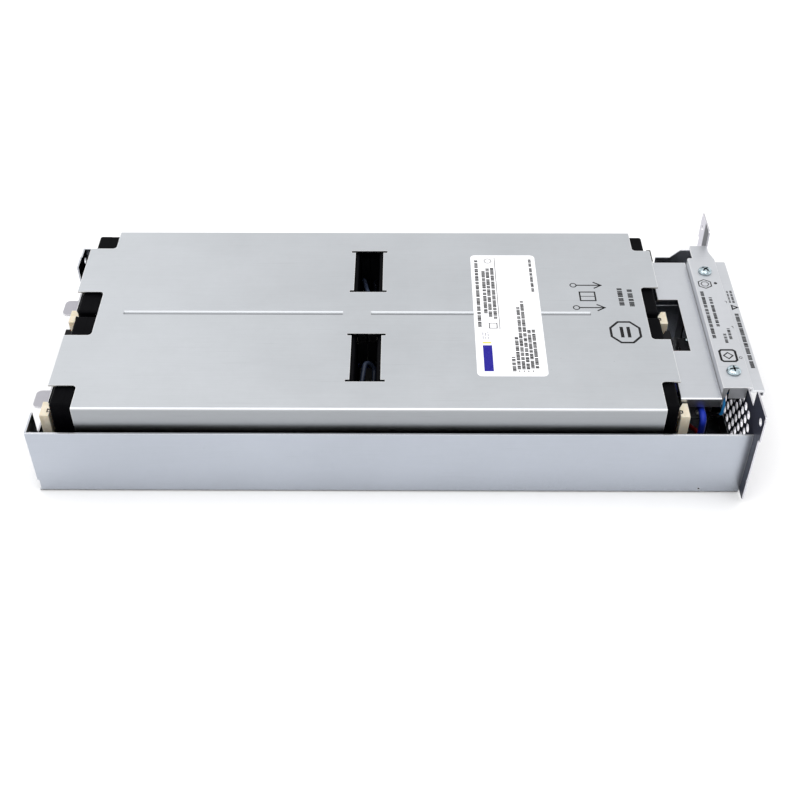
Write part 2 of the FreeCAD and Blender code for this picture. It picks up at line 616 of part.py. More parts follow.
def make_housings(label, side):
    """Nylon flag housings over the tabs on one side of the blocks, each with a leg down to its lead."""
    housings = []
    for block in BLOCKS:
        name = "%s_%s" % (label, block["name"])
        outward = block["facing"]
        y = "%d * terminal_pitch / 2" % (side * outward)
        mid = "block_tall - terminal_drop"
        inner, outer = HOUSING_REACH[block["column"] in (1, 2)]
        low, high = mid + " - 4.2", mid + " + 4.2"
        head = padded(name + "_head", "XY_Plane", [
            ("block_long + " + inner, "%s - %d * 6.7" % (y, outward)),
            ("block_long + " + outer, "%s - %d * 6.7" % (y, outward)),
            ("block_long + " + outer, "%s + %d * 6.7" % (y, outward)),
            ("block_long + %s + 3" % inner, "%s + %d * 6.7" % (y, outward)),
            ("block_long + " + inner, "%s + %d * 1.5" % (y, outward))], low, high)
        spans = sorted([-6.7 * outward, 0.0])
        leg = box(name + "_leg", ("block_long + " + inner, "block_long + " + outer),
                  ("%s + (%.1f)" % (y, spans[0]), "%s + (%.1f)" % (y, spans[1])), ("42 - block_low", low))
        slot = box(name + "_slot", ("block_long", "block_long + tab_long + 0.1"),
                   (y + " - tab_wide / 2 - 0.1", y + " + tab_wide / 2 + 0.1"),
                   (mid + " - tab_thick / 2 - 0.05", mid + " + tab_thick / 2 + 0.05"))
        housings.append(on_block(cut(name, fuse(name + "_whole", [head, leg]), [slot]), block))
    return node(group(label + "_set", housings), label)


# --------------------------------------------------------------------------- packing and connector
def make_packing():
    liner = box("liner_sheet", ("lid_middle - 211", "lid_middle + 211"), ("-94", "99"),
        ("sheet", "sheet + liner"))
    node(liner, "floor_liner")
    strips = []
    for i, x in enumerate(("-150", "-50", "50", "150"), start=1):
        span = ("lid_middle + %s - 30" % x, "lid_middle + %s + 30" % x)
        strips.append(box("side_foam_%d_near" % i, span,
            ("0.1 + sheet - half_width", "near_row - block_wide / 2 - 0.1"),
                          ("sheet + 1.2", "22")))
        strips.append(box("side_foam_%d_far" % i, span,
            ("far_row + block_wide / 2 + 0.1", "half_width - sheet - 0.1"),
                          ("sheet + 1.2", "22")))
    node(group("side_foam_set", strips), "side_foam_strips")
    spacers = [box("row_spacer_%d" % i, ("lid_middle + %s - 80" % x, "lid_middle + %s + 80" % x),
                   ("row_shift + 0.1 - row_gap / 2", "row_shift + row_gap / 2 - 0.1"), ("block_low", "18"))
               for i, x in enumerate(("-105", "105"), start=1)]
    node(group("row_spacer_set", spacers), "row_spacers")


def make_connector():
    """A two-pole power connector on a saddle, its mouth level with the front panel."""
    shell = box("connector_blank", ("212", "246"), ("-18.25", "18.25"), ("22", "38"))
    soft = rounded("connector_soft", shell, "X", [("-18.25", "22"), ("18.25", "22"), ("-18.25", "38"),
        ("18.25", "38")], "1.5")
    tools = [box("connector_front", ("227", "247"), ("-15.4", "15.4"), ("25", "35"))]
    for side in (-1, 1):
        word = side_word(side)
        tools.append(box(word + "_cavity", ("211", "225"), ("%d * 8 - 4.2" % side, "%d * 8 + 4.2" % side),
            ("24.6", "35.4")))
        tools.append(box(word + "_throat", ("224", "228"), ("%d * 8 - 4.1" % side, "%d * 8 + 4.1" % side),
            ("27.9", "29.7")))
        tools.append(rod(word + "_bolt_way", "Z", ("219", "%d * 15.4" % side, "20"), "1.5", "20"))
    hollow = cut("connector_hollow", soft, tools)
    key = box("connector_key", ("226.5", "244"), ("-1.2", "1.2"), ("25", "35"))
    node(fuse("connector_whole", [hollow, key]), "power_connector")
    contacts = []
    for side in (-1, 1):
        y = "%d * 8" % side
        crimp = box(side_word(side) + "_crimp", ("212", "222"), (y + " - 3.6", y + " + 3.6"),
            ("25.4", "34.6"))
        blade = box(side_word(side) + "_contact", ("221", "241"), (y + " - 4", y + " + 4"), ("28", "29.6"))
        contacts.append(fuse(side_word(side) + "_pole", [crimp, blade]))
    node(group("connector_contact_set", contacts), "connector_contacts")
    top = box("saddle_top", ("214", "236"), ("-20", "20"), ("22 - sheet", "22"))
    legs = both_sides(lambda side: box(side_word(side) + "_saddle_leg", ("214", "236"),
        across(side, "20 - sheet", "20"), ("sheet", "22")))
    feet = both_sides(lambda side: box(side_word(side) + "_saddle_foot", ("214", "236"),
        across(side, "19", "31"), ("sheet", "2 * sheet")))
    ways = both_sides(lambda side: rod(side_word(side) + "_saddle_way", "Z",
        ("219", "%d * 15.4" % side, "15"), "1.5", "10"))
    node(cut("saddle_cut", fuse("saddle_blank", [top] + legs + feet),
        ways + foot_seats("saddle", SADDLE_FEET)), "connector_saddle")
    screws, nuts = [], []
    for side in (-1, 1):
        body = turned(side_word(side) + "_connector_screw", [
            ("0", "-20"), ("1.5", "-20"), ("1.5", "0"), ("2.8", "0"), ("2.8", "1.2"), ("1.9", "2"),
            ("0", "2.1")])
        screws.append(place(body, "219", "%d * 15.4" % side, "38"))
        ring = turned(side_word(side) + "_connector_nut",
            [("1.5", "-2.4"), ("2.7", "-2.4"), ("2.7", "0"), ("1.5", "0")])
        nuts.append(place(ring, "219", "%d * 15.4" % side, "22 - sheet"))
    node(group("connector_screw_set", screws), "connector_screws")
    node(group("connector_nut_set", nuts), "connector_nuts")


# --------------------------------------------------------------------------- wiring
def tube_path(points, widest):
    """Straight runs joined by tangent arcs, each as large as its two runs allow, up to the widest."""
    edges = []
    last = points[0]
    radii = []
    for before, corner, after in zip(points, points[1:], points[2:]):
        to_before, to_after = (before - corner), (after - corner)
        shorter = min(to_before.Length, to_after.Length)
        turn = math.pi - to_before.getAngle(to_after)
        reach = min(0.45 * shorter, widest * math.tan(turn / 2))
        radii.append(reach / math.tan(turn / 2))
        first = corner + to_before.normalize() * reach
        final = corner + to_after.normalize() * reach
        toward = ((first + final) * 0.5 - corner).normalize()
        centre = corner + toward * (radii[-1] / math.cos(turn / 2))
        middle = centre - toward * radii[-1]
        edges.append(Part.makeLine(last, first))
        edges.append(Part.Arc(first, middle, final).toShape())
        last = final
    edges.append(Part.makeLine(last, points[-1]))
    return Part.Wire(edges), radii


def lead(label, points, thick):
    """One insulated lead along a route of corner points."""
    corners = [FreeCAD.Vector(*[value(part) for part in spot]) for spot in points]
    path, radii = tube_path(corners, value("lead_bend"))
    start = path.Edges[0]
    circle = Part.Wire(Part.makeCircle(value(thick) / 2, start.valueAt(start.FirstParameter),
                                       start.tangentAt(start.FirstParameter)))
    tube = path.makePipeShell([circle], True, True)
    if tube.Volume < 0:
        tube.reverse()
    wanted = math.pi * (value(thick) / 2) ** 2 * path.Length
    print("%-18s length %6.1f  tightest %.1f  volume %.4f" % (label, path.Length, min(radii),
        tube.Volume / wanted))
    thing = doc.addObject("Part::Feature", label + "_tube")
    thing.Shape = tube
    return node(thing, label)


def make_leads():
    """Two strings of four blocks: links in the row gap and middle gap, four leads to the connector."""
    front_x, rear_x = "blocks_front + 5.5", "blocks_rear - 5.5"
    mid_front, mid_rear = "lid_middle + middle_gap / 2 - 4", "lid_middle - middle_gap / 2 + 4"
    gap, low = "row_shift", "42"
    for row, level in (("near", "37"), ("far", "30.5")):
        outward = "-" if row == "near" else "+"
        inward = "+" if row == "near" else "-"
        inner = "%s_row %s terminal_pitch / 2 - 3.35" % (row, inward)
        outer = "%s_row %s terminal_pitch / 2 - 3.35" % (row, outward)
        lead(row + "_front_link", [
            (front_x, inner, low), (front_x, inner, level), (front_x, gap, level), (mid_front, gap, level),
            (mid_front, inner, level), (mid_front, inner, low)], "link")
        lead(row + "_rear_link", [
            (mid_rear, inner, low), (mid_rear, inner, level), (mid_rear, gap, level), (rear_x, gap, level),
            (rear_x, inner, level), (rear_x, inner, low)], "link")
        lead(row + "_middle_link", [
            (mid_rear, outer, low), (mid_rear, outer, "32"),
            (mid_rear, "%s %s 7" % (outer, inward), "32"),
            ("lid_middle - 4.8", "%s_row %s 20" % (row, outward), "50"),
            ("lid_middle - 0.8", "%s_row %s 10" % (row, inward), "61"),
            ("lid_middle + 5.5", "%s_row %s 12" % (row, inward), "54"),
            ("lid_middle + 4.8", "%s_row %s 4" % (row, outward), "40"),
            (mid_front, outer, "32"), (mid_front, outer, low)], "link")
    near_outer, far_outer = "near_row - terminal_pitch / 2 - 3.35", "far_row + terminal_pitch / 2 - 3.35"
    lead("near_front_lead", [
        (front_x, near_outer, low), (front_x, near_outer, "34"), ("211", "near_outer_lead", "34"),
        ("211", "near_outer_lead", "52.2"), ("211", "-62", "52.2"), ("203.5", "-38", "33"),
        ("203.5", "-8", "31.5"),
        ("212", "-8", "31.5")], "main_lead")
    lead("near_side_lead", [
        (rear_x, near_outer, low), (rear_x, near_outer, "36"), (rear_x, "near_channel", "34"),
        ("blocks_front + 4", "near_channel", "34"), ("213", "-88", "34"), ("213", "-66", "24"),
        ("208", "-46", "15"),
        ("205", "8", "15"), ("205", "8", "27"), ("212", "8", "27")], "link")
    lead("far_front_lead", [
        (front_x, far_outer, low), (front_x, far_outer, "28"), ("200.5", "70", "24"), ("203", "24", "31.5"),
        ("204", "8", "31.5"), ("212", "8", "31.5")], "link")
    lead("far_return_lead", [
        (rear_x, far_outer, low), (rear_x, far_outer, "28"), (rear_x, "70", "22.5"), (rear_x, gap, "22.5"),
        ("blocks_front + 6", gap, "22.5"), ("203", "-8", "27"), ("212", "-8", "27")], "link")
    socket = box("sense_socket_blank", ("229.5", "237.5"), ("-69", "-62"),
        ("56.5", "panel_top - sheet - 0.1"))
    way = rod("sense_socket_way", "X", ("229", "-65.5", "60"), "sense / 2", "3")
    node(cut("sense_socket_cut", socket, [way]), "sense_socket")
    lead("sense_lead", [
        ("218", "-18.6", "33"), ("218", "-36", "33"), ("216", "-50", "38"), ("216.5", "-65", "41"),
        ("226", "-73", "45"),
        ("226", "-73", "56.5"), ("226", "-65.5", "60"), ("231", "-65.5", "60")], "sense")


# --------------------------------------------------------------------------- assembly
make_tray()
make_rear_stop()
make_front_panel()
make_rivets()
make_press_nuts()
make_deck()
make_bracket()
make_bracket_screws()
make_lid()
make_lid_extras()
for block in BLOCKS:
    make_jar(block)
    make_cover(block)
make_vent_strips()
make_tabs("positive_tabs", 1)
make_tabs("negative_tabs", -1)
make_housings("cream_housings", -1)
make_housings("dark_housings", 1)
make_packing()
make_connector()
make_leads()
doc.recompute()

for thing in doc.Objects:
    if "Invalid" in thing.State or "Error" in thing.State:
        raise RuntimeError("failed object: %s (%s)" % (thing.Name, thing.Label))
os.makedirs("parts", exist_ok=True)
for thing in NODES:
    shape = thing.Shape
    if shape.isNull() or not shape.isValid() or not shape.Solids:
        raise RuntimeError("bad shape: " + thing.Label)
for thing in NODES:
    thing.Shape.exportStep(os.path.join("parts", thing.Label + ".step"))
print("%d sub-parts written" % len(NODES))
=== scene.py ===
import json
import math
import random

import bmesh
import bpy
from mathutils import Matrix, Vector


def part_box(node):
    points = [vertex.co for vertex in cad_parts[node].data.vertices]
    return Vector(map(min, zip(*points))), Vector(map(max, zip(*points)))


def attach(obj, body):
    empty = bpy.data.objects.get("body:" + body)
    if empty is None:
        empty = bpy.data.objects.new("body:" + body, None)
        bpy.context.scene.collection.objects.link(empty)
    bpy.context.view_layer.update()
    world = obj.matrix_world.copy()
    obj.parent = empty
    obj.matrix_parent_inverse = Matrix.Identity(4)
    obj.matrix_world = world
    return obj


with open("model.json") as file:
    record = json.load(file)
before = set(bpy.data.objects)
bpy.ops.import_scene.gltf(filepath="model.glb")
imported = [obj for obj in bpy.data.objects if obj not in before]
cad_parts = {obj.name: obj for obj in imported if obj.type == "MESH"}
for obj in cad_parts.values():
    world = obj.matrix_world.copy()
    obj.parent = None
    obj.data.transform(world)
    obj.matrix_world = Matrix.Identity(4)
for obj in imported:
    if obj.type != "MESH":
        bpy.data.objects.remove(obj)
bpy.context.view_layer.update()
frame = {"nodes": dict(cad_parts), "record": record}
nodes = frame["nodes"]
scene = bpy.context.scene
MM = 0.001


# ---------------------------------------------------------------- camera
def make_camera():
    """The camera that took the photograph, as solved from the module's straight edges."""
    yaw, pitch, roll = math.radians(-0.3522), math.radians(43.2656), math.radians(0.0940)
    place = Vector((9.43, -676.72, 627.29)) * MM
    ahead = Vector((math.sin(yaw) * math.cos(pitch), math.cos(yaw) * math.cos(pitch), -math.sin(pitch)))
    level = Vector((math.cos(yaw), -math.sin(yaw), 0))
    down = ahead.cross(level)
    right = math.cos(roll) * level + math.sin(roll) * down
    up = math.sin(roll) * level - math.cos(roll) * down
    camera = bpy.data.objects.new("camera", bpy.data.cameras.new("camera"))
    scene.collection.objects.link(camera)
    turn = Matrix((right, up, -ahead)).transposed().to_4x4()
    camera.matrix_world = Matrix.Translation(place) @ turn
    camera.data.sensor_width = 36
    camera.data.lens = 54.956
    camera.data.clip_start = 0.02
    camera.data.clip_end = 20
    scene.camera = camera


make_camera()


# ---------------------------------------------------------------- materials
class Nodes:
    """A small helper for wiring one material's nodes."""

    def __init__(self, name):
        self.material = bpy.data.materials.new(name)
        self.material.use_nodes = True
        self.tree = self.material.node_tree
        self.tree.nodes.clear()
        output = self.add("ShaderNodeOutputMaterial")
        self.shader = self.add("ShaderNodeBsdfPrincipled")
        self.link(self.shader.outputs["BSDF"], output.inputs["Surface"])
        self.place = self.add("ShaderNodeTexCoord").outputs["Object"]

    def add(self, kind, **props):
        made = self.tree.nodes.new(kind)
        for key, value in props.items():
            setattr(made, key, value)
        return made

    def link(self, source, target):
        self.tree.links.new(source, target)

    def feed(self, target, value):
        """Link an output to an input, or set the input's own number or colour."""
        if hasattr(value, "is_output"):
            self.link(value, target)
        elif isinstance(value, tuple) and len(value) == 3:
            target.default_value = (*value, 1)
        else:
            target.default_value = value

    def axes(self, vector):
        """The X, Y and Z outputs of a vector."""
        parts = self.add("ShaderNodeSeparateXYZ")
        self.link(vector, parts.inputs[0])
        return parts.outputs

    def facing(self):
        """The X, Y and Z of the surface's own normal."""
        return self.axes(self.add("ShaderNodeNewGeometry").outputs["Normal"])

    def scaled(self, x, y, z):
        made = self.add("ShaderNodeMapping")
        self.link(self.place, made.inputs["Vector"])
        made.inputs["Scale"].default_value = (x, y, z)
        return made.outputs["Vector"]

    def noise(self, scale, detail, rough, vector=None):
        made = self.add("ShaderNodeTexNoise")
        self.link(vector or self.place, made.inputs["Vector"])
        made.inputs["Scale"].default_value = scale
        made.inputs["Detail"].default_value = detail
        made.inputs["Roughness"].default_value = rough
        return made.outputs["Fac"]

    def voronoi(self, scale, output="Distance"):
        made = self.add("ShaderNodeTexVoronoi")
        self.link(self.place, made.inputs["Vector"])
        made.inputs["Scale"].default_value = scale
        return made.outputs[output]

    def math(self, operation, a, b=0.0, clamp=False):
        made = self.add("ShaderNodeMath", operation=operation, use_clamp=clamp)
        self.feed(made.inputs[0], a)
        self.feed(made.inputs[1], b)
        return made.outputs[0]

    def times(self, a, b):
        return self.math("MULTIPLY", a, b)

    def ramp(self, value, low, high, to_low=0.0, to_high=1.0):
        made = self.add("ShaderNodeMapRange")
        self.link(value, made.inputs["Value"])
        for key, number in (("From Min", low), ("From Max", high), ("To Min", to_low), ("To Max", to_high)):
            made.inputs[key].default_value = number
        return made.outputs["Result"]

    def mix(self, amount, a, b):
        made = self.add("ShaderNodeMix", data_type="RGBA")
        self.feed(made.inputs["Factor"], amount)
        self.feed(made.inputs[6], a)
        self.feed(made.inputs[7], b)
        return made.outputs[2]

    def edge(self, radius, gain):
        """1 along outer and inner creases, 0 on flats."""
        bevel = self.add("ShaderNodeBevel", samples=6)
        bevel.inputs["Radius"].default_value = radius
        geometry = self.add("ShaderNodeNewGeometry")
        dot = self.add("ShaderNodeVectorMath", operation="DOT_PRODUCT")
        self.link(bevel.outputs["Normal"], dot.inputs[0])
        self.link(geometry.outputs["Normal"], dot.inputs[1])
        lost = self.math("SUBTRACT", 1.0, dot.outputs["Value"])
        return self.math("MULTIPLY", lost, gain * 6.0, clamp=True)

    def bend(self):
        """1 on folded bends and rounded corners, 0 on faces that are square to an axis."""
        normal = self.facing()
        sizes = [self.math("ABSOLUTE", normal[i]) for i in range(3)]
        most = self.math("MAXIMUM", self.math("MAXIMUM", sizes[0], sizes[1]), sizes[2])
        turned = self.math("MULTIPLY", self.math("SUBTRACT", 0.985, most), 8.0, clamp=True)
        return self.times(turned, self.ramp(sizes[2], 0.80, 0.86, 1.0, 0.06))

    def with_painted_shade(self, colour, reach, deepest, low, high):
        """The colour, darkened by painted shade in narrow places, from ambient occlusion."""
        nook = self.add("ShaderNodeAmbientOcclusion", samples=6)
        nook.inputs["Distance"].default_value = reach
        amount = self.ramp(nook.outputs["AO"], low, high, deepest, 1.0)
        grey = self.add("ShaderNodeCombineColor")
        for i in range(3):
            self.link(amount, grey.inputs[i])
        painted_dark = self.add("ShaderNodeMix", data_type="RGBA", blend_type="MULTIPLY")
        painted_dark.inputs["Factor"].default_value = 1.0
        self.feed(painted_dark.inputs[6], colour)
        self.link(grey.outputs[0], painted_dark.inputs[7])
        return painted_dark.outputs[2]

    def bump(self, height, distance, strength):
        made = self.add("ShaderNodeBump")
        self.link(height, made.inputs["Height"])
        made.inputs["Distance"].default_value = distance
        made.inputs["Strength"].default_value = strength
        return made.outputs["Normal"]

    def finish(self, colour, rough, normal=None, **fixed):
        """Wire the shader and return the material; words in fixed are the shader's own sockets."""
        sockets = self.shader.inputs
        self.feed(sockets["Base Color"], colour)
        self.feed(sockets["Roughness"], rough)
        if normal:
            self.link(normal, sockets["Normal"])
        for key, value in fixed.items():
            self.feed(sockets[key.replace("_", " ")], value)
        return self.material


def darker(tint, share):
    return tuple(c * share for c in tint)


def lighter(tint, share, lift=0.0):
    return tuple(min(1, c * share + lift) for c in tint)


def zinc(name, tint, rough=0.32, skirts=1.0, painted_dark_reflection=None, nook=60, metal=1.0, beads=None):
    """Satin zinc-coated sheet: rolling grain, faint spangle, small specks and scuffs, and a painted
    highlight on edges and bends.

    skirts keeps that share of the colour on faces towards Y, the rest painted shade;
    painted_dark_reflection is the Y up to which the face towards -X is painted dark as a reflection; nook
    is how wide a gap in mm still gets painted shade; beads is the Y of pressed beads along X, which get
    painted shade.
    """
    m = Nodes(name)
    normal = m.facing()
    place = m.axes(m.place)
    grain = m.noise(1.0, 4, 0.6, m.scaled(30, 900, 900))
    cloud = m.noise(16, 4, 0.55)
    spangle = m.voronoi(240, output="Color")
    fine = m.noise(1500, 2, 0.5)
    value = m.math("ADD", m.ramp(cloud, 0.3, 0.7, -0.5, 0.5), m.ramp(grain, 0.3, 0.7, -0.3, 0.3))
    value = m.math("ADD", value, m.ramp(spangle, 0.0, 1.0, -0.15, 0.15))
    colour = m.mix(m.ramp(value, -1.0, 1.0), darker(tint, 0.94), lighter(tint, 1.05))

    # dust specks and a few short scuffs
    dust = m.ramp(m.voronoi(95), 0.0, 0.055, 1.0, 0.0)
    chosen = m.ramp(m.noise(60, 2, 0.5), 0.52, 0.60)
    specks = m.math("MULTIPLY", dust, chosen, clamp=True)
    colour = m.mix(m.times(specks, 0.5), colour, (0.24, 0.25, 0.27))
    scuff = m.ramp(m.noise(1.0, 2, 0.5, m.scaled(14, 700, 700)), 0.70, 0.76)
    colour = m.mix(m.times(scuff, 0.22), colour, darker(tint, 0.62))

    # painted highlight on folds, bends and cut edges; pressed beads get far less of it
    edge_highlight = m.edge(0.7 * MM, 1.8)
    if beads is not None:
        off = m.math("ABSOLUTE", m.math("SUBTRACT", place[1], beads))
        edge_highlight = m.times(edge_highlight, m.ramp(off, 3.0 * MM, 3.6 * MM, 0.16, 1.0))
    colour = m.mix(m.times(m.bend(), 0.42), colour, (0.93, 0.94, 0.95))
    colour = m.mix(edge_highlight, colour, (1.0, 1.0, 1.0))

    # painted shade in narrow places, from ambient occlusion, but not on the underside that the object
    # stands on
    if nook:
        lowest = m.ramp(place[2], 0.2 * MM, 0.6 * MM, 1.0, 0.0)
        under = m.times(m.ramp(normal[2], -0.98, -0.90, 1.0, 0.0), lowest)
        colour = m.mix(under, m.with_painted_shade(colour, nook * MM, 0.04, 0.20, 0.44), colour)
    # painted shade on the faces towards Y: they keep only the skirts share of their colour
    if skirts < 1:
        upright = m.ramp(m.math("ABSOLUTE", normal[1]), 0.75, 0.98)
        colour = m.mix(upright, colour, m.mix(1.0 - skirts, colour, (0.0, 0.002, 0.006)))
    # painted shade inside the pressed beads, more of it on the slope that faces +Y
    if beads is not None:
        slope = m.ramp(normal[2], 0.9990, 0.9999, 1.0, 0.0)
        inside = m.times(m.ramp(off, 2.1 * MM, 2.4 * MM, 1.0, 0.0), slope)
        bead_shade = m.math("MULTIPLY", inside, m.ramp(normal[1], -0.25, 0.25, 0.30, 0.62), clamp=True)
        colour = m.mix(bead_shade, colour, (0.10, 0.105, 0.115))
    # painted dark reflection on the face towards -X, up to the given Y, with less metal there
    if painted_dark_reflection is not None:
        near = m.ramp(place[1], painted_dark_reflection, painted_dark_reflection + 1.5 * MM, 1.0, 0.0)
        back = m.ramp(normal[0], -0.7, -0.3, 1.0, 0.0)
        dark = m.times(m.math("MULTIPLY", near, back, clamp=True), 0.95)
        colour = m.mix(dark, colour, (0.010, 0.013, 0.028))
        metal = m.times(m.math("SUBTRACT", 1.0, dark), metal)
        m.shader.inputs["Specular IOR Level"].default_value = 0.12

    roughness = m.ramp(value, -1.0, 1.0, rough - 0.04, rough + 0.05)
    height = m.math("ADD", m.times(grain, 0.7), m.times(fine, 0.3))
    return m.finish(colour, roughness, m.bump(height, 0.012 * MM, 0.4), Metallic=metal)


def moulded(name, tint, rough, grain, edge, gloss):
    """Injection-moulded plastic: fine spark-eroded grain, slight mottling, a painted highlight along edges.
    """
    m = Nodes(name)
    fine = m.noise(2600, 3, 0.6)
    cloud = m.noise(60, 4, 0.6)
    colour = m.mix(m.ramp(cloud, 0.35, 0.7), darker(tint, 0.8), lighter(tint, 1.25, 0.002))
    # painted highlight along edges
    colour = m.mix(m.edge(0.5 * MM, edge), colour, lighter(tint, 1.0, 0.10 * edge))
    roughness = m.ramp(cloud, 0.3, 0.7, rough - 0.06, rough + 0.08)
    return m.finish(colour, roughness, m.bump(fine, grain * MM, 0.6), Specular_IOR_Level=gloss)


def bright_metal(name, tint, rough):
    """Plated metal: blotchy bright passivation, fine scratches and painted shade in the recesses."""
    m = Nodes(name)
    cloud = m.noise(420, 4, 0.6)
    scratch = m.noise(1.0, 3, 0.7, m.scaled(4000, 350, 900))
    colour = m.mix(m.ramp(cloud, 0.4, 0.6), darker(tint, 0.55), tint)
    # painted shade in the recesses, from ambient occlusion
    colour = m.with_painted_shade(colour, 3 * MM, 0.02, 0.35, 0.9)
    roughness = m.ramp(scratch, 0.3, 0.7, rough, rough + 0.16)
    return m.finish(colour, roughness, m.bump(scratch, 0.01 * MM, 0.5), Metallic=1.0)


def nylon(name, tint):
    """Natural nylon: slightly see-through, cloudy, yellower in its thick parts, with soft mould grain."""
    m = Nodes(name)
    cloud = m.noise(160, 4, 0.6)
    flow = m.noise(1.0, 3, 0.6, m.scaled(300, 300, 60))
    yellow = tuple(c * share for c, share in zip(tint, (0.84, 0.78, 0.66)))
    colour = m.mix(m.ramp(cloud, 0.3, 0.75), yellow, tint)
    colour = m.mix(m.ramp(flow, 0.55, 0.8, 0, 0.4), colour, (0.62, 0.50, 0.34))
    # painted highlight along edges
    colour = m.mix(m.edge(0.4 * MM, 0.6), colour, (0.93, 0.91, 0.86))
    m.shader.inputs["Subsurface Radius"].default_value = (0.0025, 0.0018, 0.0012)
    return m.finish(colour, m.ramp(cloud, 0.2, 0.8, 0.34, 0.5), m.bump(cloud, 0.04 * MM, 0.5),
                    Subsurface_Weight=0.25, Subsurface_Scale=1.0)


def ink(name, tint):
    """Screen-printed ink: thin, with pin-holes and slightly uneven cover."""
    m = Nodes(name)
    pits = m.noise(1800, 3, 0.6)
    colour = m.mix(m.ramp(pits, 0.35, 0.75), tint, lighter(tint, 1.2, 0.03))
    roughness = m.ramp(pits, 0.3, 0.7, 0.45, 0.6)
    return m.finish(colour, roughness, m.bump(pits, 0.005 * MM, 0.4), Specular_IOR_Level=0.08)


def film(name, tint):
    """Satin polymer film with a faint weave."""
    m = Nodes(name)
    weave = m.noise(900, 3, 0.5)
    cloud = m.noise(35, 3, 0.5)
    colour = m.mix(m.ramp(cloud, 0.3, 0.7), darker(tint, 0.96), tint)
    return m.finish(colour, m.ramp(weave, 0.3, 0.7, 0.30, 0.45), m.bump(weave, 0.01 * MM, 0.4))


def foam(name, tint):
    """Closed-cell foam with open pores on its cut faces."""
    m = Nodes(name)
    cells = m.voronoi(1400)
    colour = m.mix(m.ramp(cells, 0.0, 0.6), darker(tint, 0.5), tint)
    return m.finish(colour, 0.9, m.bump(cells, 0.15 * MM, 0.8))


def cable(name, tint, rough=0.33, painted_shade_below=None):
    """Insulated lead: soft sheen, slight colour drift, painted shade in narrow places; below a given height
    it is painted near black as shade.
    """
    m = Nodes(name)
    ring = m.noise(1.0, 3, 0.6, m.scaled(500, 500, 500))
    cloud = m.noise(140, 3, 0.6)
    colour = m.mix(m.ramp(cloud, 0.3, 0.7), darker(tint, 0.7), tint)
    # painted shade: below the given height the lead is painted near black
    if painted_shade_below:
        in_painted_shade = m.ramp(m.axes(m.place)[2], painted_shade_below, painted_shade_below + 0.4 * MM, 1.0, 0.0)
        colour = m.mix(in_painted_shade, colour, (0.004, 0.004, 0.005))
    # painted shade from ambient occlusion, out to 40 mm
    colour = m.with_painted_shade(colour, 40 * MM, 0.25, 0.05, 0.5)
    roughness = m.ramp(cloud, 0.3, 0.7, rough - 0.05, rough + 0.1)
    return m.finish(colour, roughness, m.bump(ring, 0.03 * MM, 0.5), Specular_IOR_Level=0.2)


LOOKS = {
    "zinc_sheet": zinc("zinc_sheet", (0.61, 0.63, 0.665)),
    "lid_sheet": zinc("lid_sheet", (0.57, 0.592, 0.62), rough=0.36, skirts=0.62, beads=1.8 * MM),
    "bright_zinc": bright_metal("bright_zinc", (0.62, 0.74, 0.80), 0.14),
    "rivet_metal": bright_metal("rivet_metal", (0.66, 0.66, 0.67), 0.34),
    "black_case": moulded("black_case", (0.0012, 0.0012, 0.002), 0.5, 0.03, 0.03, 0.03),
    "tinned_metal": bright_metal("tinned_metal", (0.80, 0.72, 0.62), 0.25),
    "silvered_copper": bright_metal("silvered_copper", (0.80, 0.77, 0.71), 0.22),
    "label_film": film("label_film", (0.93, 0.93, 0.95)),
    "foam": foam("foam", (0.012, 0.012, 0.014)),
    "liner_film": film("liner_film", (0.02, 0.02, 0.02)),
    "grey_housing": moulded("grey_housing", (0.03, 0.032, 0.036), 0.4, 0.03, 0.2, 0.3),
    "nylon": nylon("nylon", (0.86, 0.80, 0.68)),
    "dark_nylon": moulded("dark_nylon", (0.003, 0.003, 0.004), 0.4, 0.02, 0.1, 0.10),
    "blue_lead": cable("blue_lead", (0.012, 0.035, 0.42)),
    "red_lead": cable("red_lead", (0.45, 0.012, 0.01)),
    "sky_lead": cable("sky_lead", (0.03, 0.30, 0.72), painted_shade_below=46 * MM),
    "black_lead": cable("black_lead", (0.006, 0.006, 0.007)),
    "slate_lead": cable("slate_lead", (0.03, 0.04, 0.07), rough=0.25),
}
BLACK_INK = ink("black_ink", (0.004, 0.004, 0.005))
BLUE_INK = ink("blue_ink", (0.012, 0.008, 0.24))
YELLOW_INK = ink("yellow_ink", (0.62, 0.58, 0.06))
GREY_INK = ink("grey_ink", (0.28, 0.28, 0.32))
# single pieces whose own finish differs a little from the rest of their slot; the front panel also gets a
# painted dark reflection on its near rear faces
OWN = {
    "rear_stop": zinc("rear_stop_zinc", (0.435, 0.428, 0.465)),
    "tray": zinc("tray_zinc", (0.46, 0.49, 0.545)),
    "front_bracket": zinc("front_bracket_zinc", (0.60, 0.615, 0.645), rough=0.42, nook=0, metal=0.8),
    "front_panel": zinc("front_panel_zinc", (0.54, 0.53, 0.59), painted_dark_reflection=100 * MM),
}
for entry in frame["record"]["subparts"]:
    thing = nodes[entry["node"]]
    thing.data.materials.clear()
    thing.data.materials.append(OWN.get(entry["node"], LOOKS[entry["material_slot"]]))


